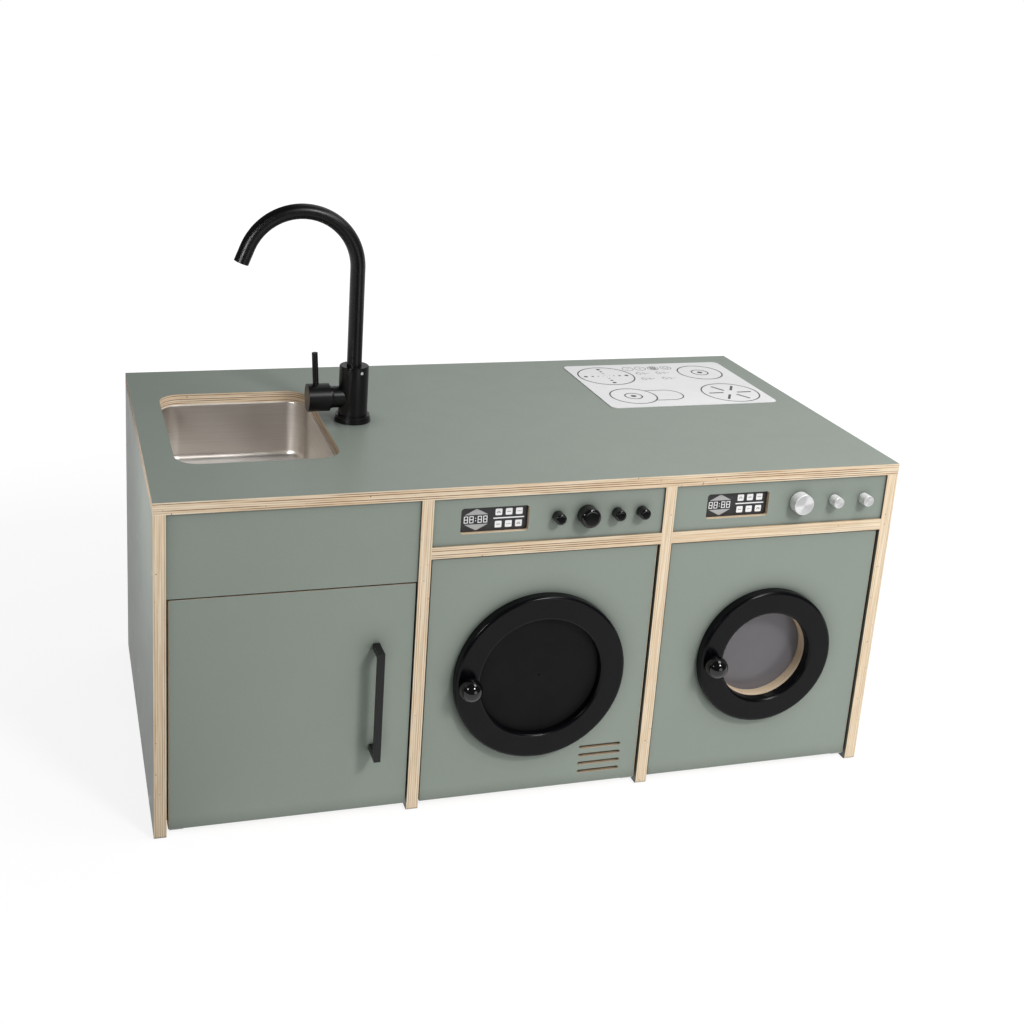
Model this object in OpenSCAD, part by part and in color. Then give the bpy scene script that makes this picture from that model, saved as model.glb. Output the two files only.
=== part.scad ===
// Plywood play kitchen and laundry unit: a worktop with a sunk steel basin, a mixer tap and a printed
// hob sheet, over a cupboard, a tumble-dryer front and a washing-machine front.
// Millimetres. The part frame stands on the floor with +X to the right of someone facing the doors and
// +Y towards the back. Inside place() x counts from the left side, y from the carcass front, z from the floor.

/* [Cabinet] */
// Width of the cabinet over its side panels
body_w = 1150; // [1130:10:1300]
// Depth of the uprights and the worktop
body_d = 600; // [580:10:700]
// Height from the floor to the top of the worktop
body_h = 525; // [500:5:600]
// Thickness of the plywood boards
ply = 18; // [16:1:21]
// Height of the bottom boards and the doors above the floor
plinth_gap = 12; // [8:1:30]
// Radius of the uprights' bottom corners
foot_r = 5; // [2:1:8]
// Distance that doors and fascias are set back from the carcass front
front_recess = 3; // [1:0.5:6]
// Height of the cupboard's fascia
cupboard_fascia_h = 127; // [110:1:140]
// Height of the fascias above the two appliance doors
appliance_fascia_h = 74; // [66:1:90]
// Distance from the carcass front to the middle of the inner partitions
partition_y = 306; // [290:1:330]

/* [Joinery] */
// Radius of the wooden dowels
dowel_r = 4; // [3:0.5:5]
// Depth of a dowel in the edge of a board
dowel_grip = 20; // [15:1:30]
// Radius of the carcass screws' shanks
screw_r = 2.25; // [1.75:0.25:2.5]
// Length of the carcass screws
screw_len = 50; // [40:5:60]
// Height of the lower partition screws
low_screw_z = 108; // [80:1:140]
// Height of the upper partition screws
high_screw_z = 343; // [300:1:350]
// Distance from the carcass front to the front floor screws
floor_screw_y = 74; // [60:1:100]
// Clearance round dowels and screws
hole_clearance = 0.05; // [0.02:0.01:0.1]

/* [Doors] */
// Gap round the doors and the fascias
door_gap = 2.4; // [2:0.2:3.4]
// Chamfer on the hinge side's front edge
door_arris = 2; // [1.5:0.5:3]
// Radius of the hinge pins
pin_r = 3; // [2:0.5:3.5]
// Length of the hinge pins inside the doors
pin_in_door = 10; // [8:1:14]
// Running clearance round the hinge pins
pin_clearance = 0.05; // [0.02:0.01:0.08]
// Thickness of the lower pivot plates
pivot_plate_t = 2; // [1.5:0.5:3]
// Length of the lower pivot plates
pivot_plate_len = 48; // [42:1:60]
// Height of the magnetic catches
catch_h = 40; // [30:1:50]
// Width of the magnetic catches
catch_w = 14; // [10:1:18]
// Thickness of the catches' strike plates
strike_t = 1.5; // [1:0.5:2]

/* [Cupboard handle] */
// Overall length of the handle
handle_len = 176; // [140:2:220]
// Thickness of the square handle bar
handle_bar = 10; // [8:1:14]
// Distance from the door's face to the front of the bar
handle_reach = 35; // [30:1:45]
// Distance from the door's free edge to the middle of the handle
handle_inset = 55; // [40:1:70]

/* [Appliance rings] */
// Outer diameter of the dryer's ring
dryer_ring_d = 270; // [240:2:300]
// Width of the dryer's ring
dryer_ring_w = 39; // [34:1:44]
// Outer diameter of the washer's ring
washer_ring_d = 226; // [200:2:250]
// Width of the washer's ring
washer_ring_w = 38; // [34:1:44]
// Thickness of both rings
ring_t = 16; // [12:1:20]
// Radius of the rings' rounded edges
ring_edge_r = 5; // [2:0.5:6]
// Thickness of the dryer's blank disc
disc_t = 3.5; // [2:0.5:6]
// Thickness of the washer's acrylic pane
pane_t = 3; // [2:0.5:5]
// Overlap of the pane behind the door, past the ring's middle
pane_lap = 10; // [8:1:14]
// Radius of the ball knobs on the rings
ball_r = 17.5; // [15:0.5:20]
// Distance from a ring's face to the middle of its ball knob
ball_stand = 15; // [12:0.5:17]

/* [Dryer vent] */
// Length of a vent slot
vent_len = 70; // [50:1:90]
// Height of a vent slot
vent_h = 5.5; // [4:0.5:7]
// Distance between two vent slots
vent_pitch = 14.3; // [11:0.1:18]
// Number of vent slots
vent_count = 4; // [2:1:4]
// Height of the lowest slot above the floor
vent_low_z = 33; // [30:1:45]
// Distance from the door's hinge edge to the slots
vent_inset = 29; // [24:1:40]

/* [Control strips] */
// Width of the display cut-outs
display_w = 104; // [90:1:110]
// Height of the display cut-outs
display_h = 40; // [34:1:44]
// Corner radius of the display cut-outs
display_r = 5; // [2:1:8]
// Depth of the displays behind the fascia's face
display_recess = 7; // [5:0.5:9]
// Thickness of the display plates
display_t = 3; // [2:0.5:5]
// Overlap of the display plates behind the fascia
display_lap = 4; // [3:0.5:6]
// Distance from the left edge of the dryer bay to its display
dryer_display_x = 41.7; // [30:0.1:50]
// Distance from the left edge of the washer bay to its display
washer_display_x = 53.8; // [40:0.1:60]
// Radius of the small knobs
small_knob_r = 8.6; // [7.5:0.1:10]
// Length of the small knobs
small_knob_len = 16.5; // [14:0.5:20]
// Radius of the dryer's large knob
dryer_knob_r = 15.5; // [13:0.5:18]
// Length of the dryer's large knob
dryer_knob_len = 20; // [15:0.5:24]
// Radius of the washer's large knob
washer_knob_r = 16.4; // [13:0.1:18]
// Length of the washer's large knob
washer_knob_len = 16; // [14:0.5:20]
// Radius of the knob spindles
spindle_r = 3; // [2:0.5:3.5]
// Gap between a knob and the fascia
knob_gap = 0.4; // [0.3:0.1:1]

/* [Sink] */
// Distance from the left side to the sink cut-out
sink_x = 45; // [40:1:60]
// Distance from the carcass front to the sink cut-out
sink_y = 140; // [120:1:160]
// Distance from the sink cut-out to the tap's axis
sink_to_tap = 49; // [47:1:75]
// Length of the sink cut-out, front to back
sink_l = 328; // [300:1:340]
// Corner radius of the sink cut-out
sink_r = 36; // [25:1:50]
// Depth of the basin below the worktop
basin_depth = 100; // [60:1:104]
// Thickness of the basin's steel
basin_t = 1; // [0.8:0.1:1.5]
// Width of the basin's rim under the worktop
basin_rim = 12; // [10:1:14]

/* [Hob] */
// Width of the hob sheet
hob_w = 315; // [280:1:330]
// Depth of the hob sheet
hob_d = 245; // [200:1:260]
// Thickness of the hob sheet
hob_t = 1; // [0.8:0.1:2]
// Corner radius of the hob sheet
hob_r = 11; // [5:1:20]
// Distance from the hob sheet to the right side
hob_from_right = 39; // [25:1:60]
// Distance from the hob sheet to the back
hob_from_back = 42; // [25:1:60]

/* [Tap] */
// Distance from the tap's axis to the divider on its right
tap_to_divider = 36.3; // [32:0.1:40]
// Distance from the carcass front to the tap's axis
tap_y = 308; // [260:1:350]
// Radius of the tap's base ring
tap_base_r = 29; // [26:0.5:31]
// Height of the tap's base ring
tap_base_h = 11; // [8:1:16]
// Radius of the tap's body
tap_body_r = 23.5; // [22:0.5:25]
// Height of the tap's body above its base ring
tap_body_h = 81; // [78:1:95]
// Height of the mixer neck's axis above the worktop
neck_z = 40; // [36:1:42]
// Radius of the mixer neck
neck_r = 17.5; // [17:0.5:17.5]
// Distance from the tap's axis to the middle of the neck's ball end
neck_reach = 42; // [40:1:46]
// Radius of the handle cap
cap_r = 22.5; // [22:0.5:24]
// Length of the handle cap beyond the ball's middle
cap_len = 33; // [31:1:38]
// Radius of the lever rod
lever_r = 4.8; // [3.5:0.1:5]
// Length of the lever rod above the cap
lever_len = 52; // [40:1:60]
// Lean of the lever rod away from the body
lever_lean = 3.5; // [0:0.5:6]
// Radius of the spout pipe
spout_r = 12; // [11:0.5:12]
// Wall of the spout pipe
spout_wall = 1.5; // [1:0.5:2]
// Radius of the spout's bend, to the middle of the pipe
spout_bend_r = 90; // [60:1:110]
// Height of the bend's middle above the worktop
spout_rise = 250; // [180:1:280]
// Angle that the bend turns through
spout_bend = 158; // [140:1:180]
// Length of the straight nozzle
nozzle_len = 25; // [10:1:45]
// Radius of the threaded shank below the tap
shank_r = 16; // [14:0.5:16]
// Length of the shank below the worktop
shank_len = 35; // [26:1:50]
// Thickness of the shank nut
nut_t = 9; // [6:1:12]

/* [Hidden] */
$fn = 96;
bay_w = (body_w - 4 * ply) / 3;
upright_h = body_h - ply;
upright_x = [for (i = [0 : 3]) i * (bay_w + ply)];
bay_x = [for (i = [0 : 2]) upright_x[i] + ply];

knob_reach = ring_t + ball_stand + ball_r - front_recess;
front_y = -(body_d - knob_reach) / 2;

panel_y = front_recess;
panel_back_y = panel_y + ply;
panel_mid_y = panel_y + ply / 2;
floor_z = plinth_gap;
floor_mid_z = floor_z + ply / 2;
floor_top_z = floor_z + ply;
cupboard_fascia_z = upright_h - cupboard_fascia_h;
appliance_fascia_z = upright_h - appliance_fascia_h;
upper_board_z = appliance_fascia_z - ply;
upper_board_mid_z = upper_board_z + ply / 2;
strip_mid_z = appliance_fascia_z + appliance_fascia_h / 2;
partition_front_y = partition_y - ply / 2;

// Doors: the pin sits far enough in for the chamfered front corner to clear the upright
door_lift = 0.5;
door_z = plinth_gap + door_lift;
door_w = bay_w - 2 * door_gap;
door_x = [for (i = [0 : 2]) bay_x[i] + door_gap];
door_top_z = [cupboard_fascia_z - door_gap, upper_board_z - door_gap, upper_board_z - door_gap];
pivot_in = (pow(ply / 2 - door_arris, 2) - pow(door_gap, 2)) / (2 * door_gap) + 3;
pivot_x = [door_x[0] + pivot_in, door_x[1] + door_w - pivot_in, door_x[2] + door_w - pivot_in];
pivot_side = [-1, 1, 1];
swing_r = norm([pivot_in, ply / 2]);
floor_y = panel_mid_y + swing_r + 1;
pin_hole_spare = 2;
pin_seat = 15;
ring_z = (door_z + door_top_z[1]) / 2;
ring_x = [0, door_x[1] + door_w / 2, door_x[2] + door_w / 2];
ring_face_y = panel_y - ring_t;
handle_z = door_z + (door_top_z[0] - door_z) * 0.51;

// Joinery
upper_board_dowel_y = [100, 220];
fascia_screw_z = cupboard_fascia_z + cupboard_fascia_h * 0.29;
head_r = screw_r + 1.9;
head_t = 3;
worktop_dowel_y = [body_d * 0.1, body_d / 2, body_d * 0.9];
worktop_dowel_in = 12;
blind = ply * 2 / 3;

// Sink and the place of the tap beside it, on a whole millimetre
tap_x = round(upright_x[1] - tap_to_divider);
sink_w = tap_x - sink_to_tap - sink_x;
basin_floor_z = upright_h - basin_depth;
partition_gap = 6;
fit = 0.05;

// Hob
hob_x = body_w - hob_from_right - hob_w;
hob_y = body_d - hob_from_back - hob_d;

// Controls: each knob stands at a share of the room between its display and the right end of the bay
display_x = [0, bay_x[1] + dryer_display_x, bay_x[2] + washer_display_x];
function strip_x(i, share) = let(start = display_x[i] + display_w) start + share * (bay_x[i] + bay_w - start);
small_knob_x = [strip_x(1, 0.211), strip_x(1, 0.651), strip_x(1, 0.836), strip_x(2, 0.562), strip_x(2, 0.82)];
dryer_knob_x = strip_x(1, 0.4265);
washer_knob_x = strip_x(2, 0.2626);
spindle_x = concat(small_knob_x, [dryer_knob_x, washer_knob_x]);
spindle_out = knob_gap + small_knob_len * 0.65;
spindle_head_r = 2 * spindle_r;
spindle_head_t = spindle_r;

// Tap
tap_body_z = body_h + tap_base_h;
tap_top_z = tap_body_z + tap_body_h;
neck_axis_z = body_h + neck_z;
ball_end_r = 19.2;
ball_play = 0.6;
ball_x = tap_x - neck_reach;
cartridge_r = 13;
cartridge_len = 21;
cap_overlap = 2;
stem_r = 4;
cross_pin_r = 2;
spout_seat = 30;
tap_hole_r = shank_r + 1;
shank_up = 20;

sage = "#8a928a";
birch = "#d9bd93";
matt_black = "#1d1d1f";
steel = "#b9bbbd";

// Moves the carcass frame to the part frame: the middle of the overall width and depth
module place() translate([-body_w / 2, front_y, 0]) children();

// Basic forms
module box_at(x, y, z, w, d, h) translate([x, y, z]) cube([w, d, h]);

// Cylinder along +X, +Y or +Z from a point
module rod_x(x, y, z, r, len) translate([x, y, z]) rotate([0, 90, 0]) cylinder(r = r, h = len);
module rod_y(x, y, z, r, len) translate([x, y, z]) rotate([-90, 0, 0]) cylinder(r = r, h = len);
module rod_z(x, y, z, r, len) translate([x, y, z]) cylinder(r = r, h = len);

// Rectangle with round corners, from the origin
module round_rect(w, h, r) {
    translate([r, 0]) square([w - 2 * r, h]);
    translate([0, r]) square([w, h - 2 * r]);
    for (x = [r, w - r], y = [r, h - r]) translate([x, y]) circle(r = r);
}

// Slab in the x-z plane that starts at y and runs back
module slab_y(x, y, z, w, h, r, t) {
    translate([x, y + t, z]) rotate([90, 0, 0]) linear_extrude(t) round_rect(w, h, r);
}

// Slab in the x-y plane that starts at z and runs up
module slab_z(x, y, z, w, d, r, t) translate([x, y, z]) linear_extrude(t) round_rect(w, d, r);

// Turned form about the y axis; its outline's x is the radius and its y counts forwards from the seat
module turned_y(x, y, z) translate([x, y, z]) rotate([90, 0, 0]) rotate_extrude() children();

// Joinery
module countersunk(dir, r, hr, len) {
    rotate(dir) {
        cylinder(r = r, h = len);
        cylinder(r1 = hr, r2 = r, h = head_t);
    }
}

function left_screws() = [
    [floor_screw_y, floor_mid_z], [partition_y, low_screw_z],
    [partition_y, high_screw_z], [panel_mid_y, fascia_screw_z]
];
function right_screws() = [
    [floor_screw_y, floor_mid_z], [partition_y, low_screw_z], [partition_y, high_screw_z],
    [panel_mid_y, strip_mid_z], [upper_board_dowel_y[0], upper_board_mid_z]
];

module carcass_screws(extra) {
    for (s = left_screws()) {
        translate([0, s[0], s[1]]) countersunk([0, 90, 0], screw_r + extra, head_r + extra, screw_len);
    }
    for (s = right_screws()) {
        translate([body_w, s[0], s[1]]) countersunk([0, -90, 0], screw_r + extra, head_r + extra, screw_len);
    }
}

// Dowels through a divider into the boards on both sides
module divider_dowels(i, extra) {
    x = upright_x[i] - dowel_grip;
    len = ply + 2 * dowel_grip;
    for (y = [floor_screw_y, body_d - floor_screw_y]) rod_x(x, y, floor_mid_z, dowel_r + extra, len);
    for (z = [low_screw_z, high_screw_z]) rod_x(x, partition_y, z, dowel_r + extra, len);
    rod_x(x, panel_mid_y, strip_mid_z, dowel_r + extra, len);
}

module upper_board_dowels(extra) {
    len = dowel_grip + blind;
    for (y = upper_board_dowel_y) {
        rod_x(upright_x[1] + ply - blind, y, upper_board_mid_z, dowel_r + extra, len);
        rod_x(upright_x[2] - dowel_grip, y, upper_board_mid_z, dowel_r + extra, ply + 2 * dowel_grip);
    }
}

module worktop_dowels(extra) {
    for (x = upright_x, y = worktop_dowel_y) {
        rod_z(x + ply / 2, y, upright_h - dowel_grip, dowel_r + extra, dowel_grip + worktop_dowel_in);
    }
}

module all_dowels(extra) {
    divider_dowels(1, extra);
    divider_dowels(2, extra);
    upper_board_dowels(extra);
    worktop_dowels(extra);
}

// Carcass boards
module upright_outline() {
    translate([foot_r, 0]) square([body_d - 2 * foot_r, foot_r + 1]);
    translate([0, foot_r]) square([body_d, upright_h - foot_r]);
    for (y = [foot_r, body_d - foot_r]) translate([y, foot_r]) circle(r = foot_r);
}

module upright(i) {
    color(sage) place() difference() {
        translate([upright_x[i], 0, 0]) rotate([90, 0, 90]) linear_extrude(ply) upright_outline();
        carcass_screws(hole_clearance);
        if (i == 1 || i == 2) divider_dowels(i, hole_clearance);
        if (i == 1 || i == 2) upper_board_dowels(hole_clearance);
        worktop_dowels(hole_clearance);
    }
}

module left_side_panel() upright(0);
module left_divider() upright(1);
module right_divider() upright(2);
module right_side_panel() upright(3);

module joined_board() {
    difference() {
        children();
        carcass_screws(hole_clearance);
        divider_dowels(1, hole_clearance);
        divider_dowels(2, hole_clearance);
        upper_board_dowels(hole_clearance);
    }
}

module bay_floor(i) {
    color(sage) place() difference() {
        joined_board() box_at(bay_x[i], floor_y, floor_z, bay_w, body_d - floor_y, ply);
        pivot_plate_screws(i, hole_clearance);
    }
}

module cupboard_floor() bay_floor(0);
module dryer_floor() bay_floor(1);
module washer_floor() bay_floor(2);

module bay_partition(i, top_z) {
    color(sage) place() joined_board() {
        box_at(bay_x[i], partition_front_y, floor_top_z, bay_w, ply, top_z - floor_top_z);
    }
}

module cupboard_partition() bay_partition(0, basin_floor_z - partition_gap);
module dryer_partition() bay_partition(1, upright_h);
module washer_partition() bay_partition(2, upright_h);

// Fascias and upper boards
module pivot_pin_hole(i, from_z, len, extra) {
    rod_z(pivot_x[i], panel_mid_y, from_z, pin_r + extra, len);
}

module cupboard_fascia() {
    color(sage) place() difference() {
        joined_board() box_at(bay_x[0], panel_y, cupboard_fascia_z, bay_w, ply, cupboard_fascia_h);
        pivot_pin_hole(0, cupboard_fascia_z, pin_seat, hole_clearance);
    }
}

module display_opening(i) {
    z = strip_mid_z - display_h / 2;
    slab_y(display_x[i], panel_y, z, display_w, display_h, display_r, display_recess);
    box_at(display_x[i] - display_lap, panel_y + display_recess, z - display_lap,
        display_w + 2 * display_lap, ply - display_recess, display_h + 2 * display_lap);
}

module spindle_hole(x) rod_y(x, panel_y, strip_mid_z, spindle_r + hole_clearance, ply);

module appliance_fascia(i) {
    color(sage) place() difference() {
        joined_board() box_at(bay_x[i], panel_y, appliance_fascia_z, bay_w, ply, appliance_fascia_h);
        display_opening(i);
        for (x = spindle_x) spindle_hole(x);
    }
}

module dryer_fascia() appliance_fascia(1);
module washer_fascia() appliance_fascia(2);

module upper_board(i) {
    color(birch) place() difference() {
        joined_board() box_at(bay_x[i], 0, upper_board_z, bay_w, partition_front_y, ply);
        pivot_pin_hole(i, upper_board_z, pin_seat, hole_clearance);
    }
}

module dryer_upper_board() upper_board(1);
module washer_upper_board() upper_board(2);

module carcass_dowels() color(birch) place() all_dowels(0);
module side_screws() color(steel) place() carcass_screws(0);

// Worktop, basin and hob
module worktop() {
    color(sage) place() difference() {
        box_at(0, 0, upright_h, body_w, body_d, ply);
        slab_z(sink_x, sink_y, upright_h, sink_w, sink_l, sink_r, ply);
        rod_z(tap_x, tap_y, upright_h, tap_hole_r, ply);
        worktop_dowels(hole_clearance);
        basin_screw_holes(screw_r + hole_clearance);
    }
}

rim_mid = basin_rim / 2;
basin_screw_x = [sink_x + sink_w * 0.25, sink_x + sink_w * 0.75];
basin_screw_y = [sink_y - rim_mid - basin_t, sink_y + sink_l + rim_mid + basin_t];
basin_screw_in = 12;

module basin_screw_holes(r) {
    for (x = basin_screw_x, y = basin_screw_y) {
        rod_z(x, y, upright_h - 2 * basin_t, r, basin_screw_in + 2 * basin_t);
    }
}

module sink_basin() {
    steel_w = sink_w + 2 * basin_t;
    steel_l = sink_l + 2 * basin_t;
    color(steel) place() difference() {
        union() {
            slab_z(sink_x - basin_t, sink_y - basin_t, basin_floor_z - basin_t, steel_w, steel_l,
                sink_r + basin_t, basin_depth + basin_t);
            slab_z(sink_x - basin_t - basin_rim, sink_y - basin_t - basin_rim, upright_h - basin_t,
                steel_w + 2 * basin_rim, steel_l + 2 * basin_rim, sink_r + basin_t + basin_rim, basin_t);
        }
        slab_z(sink_x, sink_y, basin_floor_z, sink_w, sink_l, sink_r, basin_depth);
        basin_screw_holes(screw_r + hole_clearance);
    }
}

module sink_screws() {
    pan_t = 2;
    color(steel) place() {
        for (x = basin_screw_x, y = basin_screw_y) {
            rod_z(x, y, upright_h - basin_t, screw_r, basin_screw_in + basin_t);
            rod_z(x, y, upright_h - basin_t - pan_t, head_r, pan_t);
        }
    }
}

module hob_sheet() color("#e9e9ea") place() slab_z(hob_x, hob_y, body_h, hob_w, hob_d, hob_r, hob_t);

// Displays and knobs
module display_plate(i) {
    margin = display_lap - fit;
    color("#3a3a3c") place() {
        box_at(display_x[i] - margin, panel_y + display_recess, strip_mid_z - display_h / 2 - margin,
            display_w + 2 * margin, display_t, display_h + 2 * margin);
    }
}

module dryer_display() display_plate(1);
module washer_display() display_plate(2);

module knob_spindles() {
    color(steel) place() {
        for (x = spindle_x) {
            rod_y(x, panel_y - spindle_out, strip_mid_z, spindle_r, ply + spindle_out);
            rod_y(x, panel_back_y, strip_mid_z, spindle_head_r, spindle_head_t);
        }
    }
}

// Knob outline from its back face forwards, with a rounded front edge and a blind bore
module knob(x, r, len, edge_r) {
    place() difference() {
        turned_y(x, panel_y - knob_gap, strip_mid_z) {
            square([r - edge_r, len]);
            square([r, len - edge_r]);
            intersection() {
                translate([r - edge_r, len - edge_r]) circle(r = edge_r);
                square([r, len]);
            }
        }
        rod_y(x, panel_y - spindle_out - 1, strip_mid_z, spindle_r + pin_clearance, spindle_out + 1);
    }
}

small_edge_r = 3;
dryer_edge_r = 5;
washer_edge_r = 1;

module dryer_knob_1() color(matt_black) knob(small_knob_x[0], small_knob_r, small_knob_len, small_edge_r);
module dryer_knob_2() color(matt_black) knob(small_knob_x[1], small_knob_r, small_knob_len, small_edge_r);
module dryer_knob_3() color(matt_black) knob(small_knob_x[2], small_knob_r, small_knob_len, small_edge_r);
module dryer_large_knob() color(matt_black) knob(dryer_knob_x, dryer_knob_r, dryer_knob_len, dryer_edge_r);
module washer_knob_1() color(steel) knob(small_knob_x[3], small_knob_r, small_knob_len, washer_edge_r);
module washer_knob_2() color(steel) knob(small_knob_x[4], small_knob_r, small_knob_len, washer_edge_r);
module washer_large_knob() color(steel) knob(washer_knob_x, washer_knob_r, washer_knob_len, washer_edge_r);

// Doors
module door_outline(i) {
    side = pivot_side[i];
    hinge_x = side < 0 ? door_x[i] : door_x[i] + door_w;
    free_x = side < 0 ? door_x[i] + door_w : door_x[i];
    polygon([
        [free_x, panel_y], [hinge_x - side * door_arris, panel_y], [hinge_x, panel_y + door_arris],
        [hinge_x, panel_back_y], [free_x, panel_back_y]
    ]);
}

module door_panel(i) {
    difference() {
        translate([0, 0, door_z]) linear_extrude(door_top_z[i] - door_z) door_outline(i);
        pivot_pin_hole(i, door_z, pin_in_door + pin_hole_spare, pin_clearance);
        pivot_pin_hole(i, door_top_z[i] - pin_in_door - pin_hole_spare,
            pin_in_door + pin_hole_spare, pin_clearance);
    }
}

catch_drop = 20;
catch_gap = 0.5;
catch_d = 20;
function catch_x(i) = i == 0 ? bay_x[i] + bay_w - catch_w : bay_x[i];
function strike_x(i) = i == 0 ? catch_x(i) - door_gap - fit : catch_x(i) + door_gap + fit;

module door_strike(i) {
    color(steel) place() {
        box_at(strike_x(i), panel_back_y, door_top_z[i] - catch_h - catch_drop, catch_w, strike_t, catch_h);
    }
}

module cupboard_strike() door_strike(0);
module dryer_strike() door_strike(1);
module washer_strike() door_strike(2);

module door_magnets() {
    y = panel_back_y + strike_t + catch_gap;
    color("#e4e4e2") place() {
        for (i = [0 : 2]) {
            box_at(catch_x(i), y, door_top_z[i] - catch_h - catch_drop, catch_w, catch_d, catch_h);
        }
    }
}

// Hinges
module upper_pivot_pins() {
    color(steel) place() {
        for (i = [0 : 2]) {
            pivot_pin_hole(i, door_top_z[i] - pin_in_door, pin_in_door + door_gap + pin_seat, 0);
        }
    }
}

plate_front_y = panel_y + 2;
plate_grip = plate_front_y + pivot_plate_len - floor_y;

module pivot_plate_screws(i, extra) {
    for (share = [0.36, 0.78]) {
        y = floor_y + plate_grip * share;
        rod_z(pivot_x[i], y, floor_z - pivot_plate_t, screw_r + extra, pivot_plate_t + blind);
    }
}

module lower_pivot_plates() {
    plate_w = 2 * (pivot_in - 2);
    color(steel) place() {
        for (i = [0 : 2]) {
            difference() {
                box_at(pivot_x[i] - plate_w / 2, plate_front_y, floor_z - pivot_plate_t,
                    plate_w, pivot_plate_len, pivot_plate_t);
                pivot_plate_screws(i, hole_clearance);
            }
            pivot_pin_hole(i, floor_z, door_lift + pin_in_door, 0);
            pivot_plate_screws(i, 0);
        }
    }
}

// Cupboard door
handle_mid_x = door_x[0] + door_w - handle_inset;
handle_leg_z = [handle_z - handle_len / 2, handle_z + handle_len / 2 - handle_bar];
handle_screw_in = 8;

module handle_screw_holes(extra) {
    for (z = handle_leg_z) {
        rod_y(handle_mid_x, panel_y - handle_screw_in, z + handle_bar / 2, screw_r + extra,
            ply + handle_screw_in);
    }
}

module cupboard_door() {
    color(sage) place() difference() {
        door_panel(0);
        handle_screw_holes(hole_clearance);
    }
}

module cupboard_handle() {
    x = handle_mid_x - handle_bar / 2;
    bar_y = panel_y - handle_reach;
    color(matt_black) place() difference() {
        union() {
            box_at(x, bar_y, handle_leg_z[0], handle_bar, handle_bar, handle_len);
            for (z = handle_leg_z) box_at(x, bar_y, z, handle_bar, handle_reach, handle_bar);
        }
        handle_screw_holes(hole_clearance);
    }
}

module handle_screws() {
    pan_t = 2.5;
    color(steel) place() {
        handle_screw_holes(0);
        for (z = handle_leg_z) rod_y(handle_mid_x, panel_back_y, z + handle_bar / 2, head_r, pan_t);
    }
}

// Ring outline: radius across, thickness up from the door's face
module ring_outline(r, w) {
    translate([r - w, 0]) square([w, ring_t - ring_edge_r]);
    translate([r - w + ring_edge_r, 0]) square([w - 2 * ring_edge_r, ring_t]);
    for (x = [r - w + ring_edge_r, r - ring_edge_r]) {
        translate([x, ring_t - ring_edge_r]) circle(r = ring_edge_r);
    }
}

module door_ring(i, d, w) {
    color(matt_black) place() difference() {
        turned_y(ring_x[i], panel_y, ring_z) ring_outline(d / 2, w);
        ring_screw_holes(i, d / 2 - w / 2, hole_clearance);
    }
}

ring_screw_count = 6;
ring_screw_in = 9;
knob_screw_in = 10;

// Screws from behind the door into the ring; the one on the free side also holds the ball knob
module ring_screw_holes(i, r, extra) {
    for (n = [1 : ring_screw_count]) {
        a = 180 + n * 360 / ring_screw_count;
        depth = n == ring_screw_count ? ring_t + knob_screw_in : ring_screw_in;
        rod_y(ring_x[i] + r * cos(a), panel_y - depth, ring_z + r * sin(a), screw_r + extra, ply + depth);
    }
}

module ring_screw_set(i, r, behind) {
    pan_t = 2;
    color(steel) place() {
        for (n = [1 : ring_screw_count]) {
            a = 180 + n * 360 / ring_screw_count;
            depth = n == ring_screw_count ? ring_t + knob_screw_in : ring_screw_in;
            x = ring_x[i] + r * cos(a);
            z = ring_z + r * sin(a);
            rod_y(x, panel_y - depth, z, screw_r, ply + depth + behind);
            rod_y(x, panel_back_y + behind, z, head_r, pan_t);
        }
    }
}

// Ball with a flat seat on the ring's face
module ball_knob(i, r) {
    color(matt_black) place() difference() {
        turned_y(ring_x[i] - r, ring_face_y, ring_z) intersection() {
            translate([0, ball_stand]) circle(r = ball_r);
            square([ball_r, ball_stand + ball_r]);
        }
        ring_screw_holes(i, r, hole_clearance);
    }
}

dryer_ring_mid = (dryer_ring_d - dryer_ring_w) / 2;
washer_ring_mid = (washer_ring_d - washer_ring_w) / 2;
dryer_disc_r = dryer_ring_d / 2 - dryer_ring_w - 0.3;
washer_hole_r = washer_ring_d / 2 - washer_ring_w;
pane_r = washer_ring_mid + pane_lap;
disc_dot_r = 1.5;

module vent_slots() {
    x = door_x[1] + door_w - vent_inset - vent_len;
    for (n = [0 : vent_count - 1]) {
        slab_y(x, panel_y, vent_low_z + n * vent_pitch - vent_h / 2, vent_len, vent_h, vent_h / 2 - 0.2, ply);
    }
}

module dryer_door() {
    color(sage) place() difference() {
        door_panel(1);
        ring_screw_holes(1, dryer_ring_mid, hole_clearance);
        vent_slots();
    }
}

module dryer_ring() door_ring(1, dryer_ring_d, dryer_ring_w);

module dryer_disc() {
    color(matt_black) place() difference() {
        rod_y(ring_x[1], panel_y - disc_t, ring_z, dryer_disc_r, disc_t);
        rod_y(ring_x[1], panel_y - disc_t, ring_z, disc_dot_r, disc_t / 2);
    }
}

module dryer_door_knob() ball_knob(1, dryer_ring_mid);
module dryer_ring_screws() ring_screw_set(1, dryer_ring_mid, 0);

module washer_door() {
    color(sage) place() difference() {
        door_panel(2);
        rod_y(ring_x[2], panel_y, ring_z, washer_hole_r, ply);
        ring_screw_holes(2, washer_ring_mid, hole_clearance);
    }
}

module washer_ring() door_ring(2, washer_ring_d, washer_ring_w);

module washer_pane() {
    color("#b9b9bd", 0.5) place() difference() {
        rod_y(ring_x[2], panel_back_y, ring_z, pane_r, pane_t);
        translate([0, pane_t, 0]) ring_screw_holes(2, washer_ring_mid, hole_clearance);
    }
}

module washer_door_knob() ball_knob(2, washer_ring_mid);
module washer_ring_screws() ring_screw_set(2, washer_ring_mid, pane_t);

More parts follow.
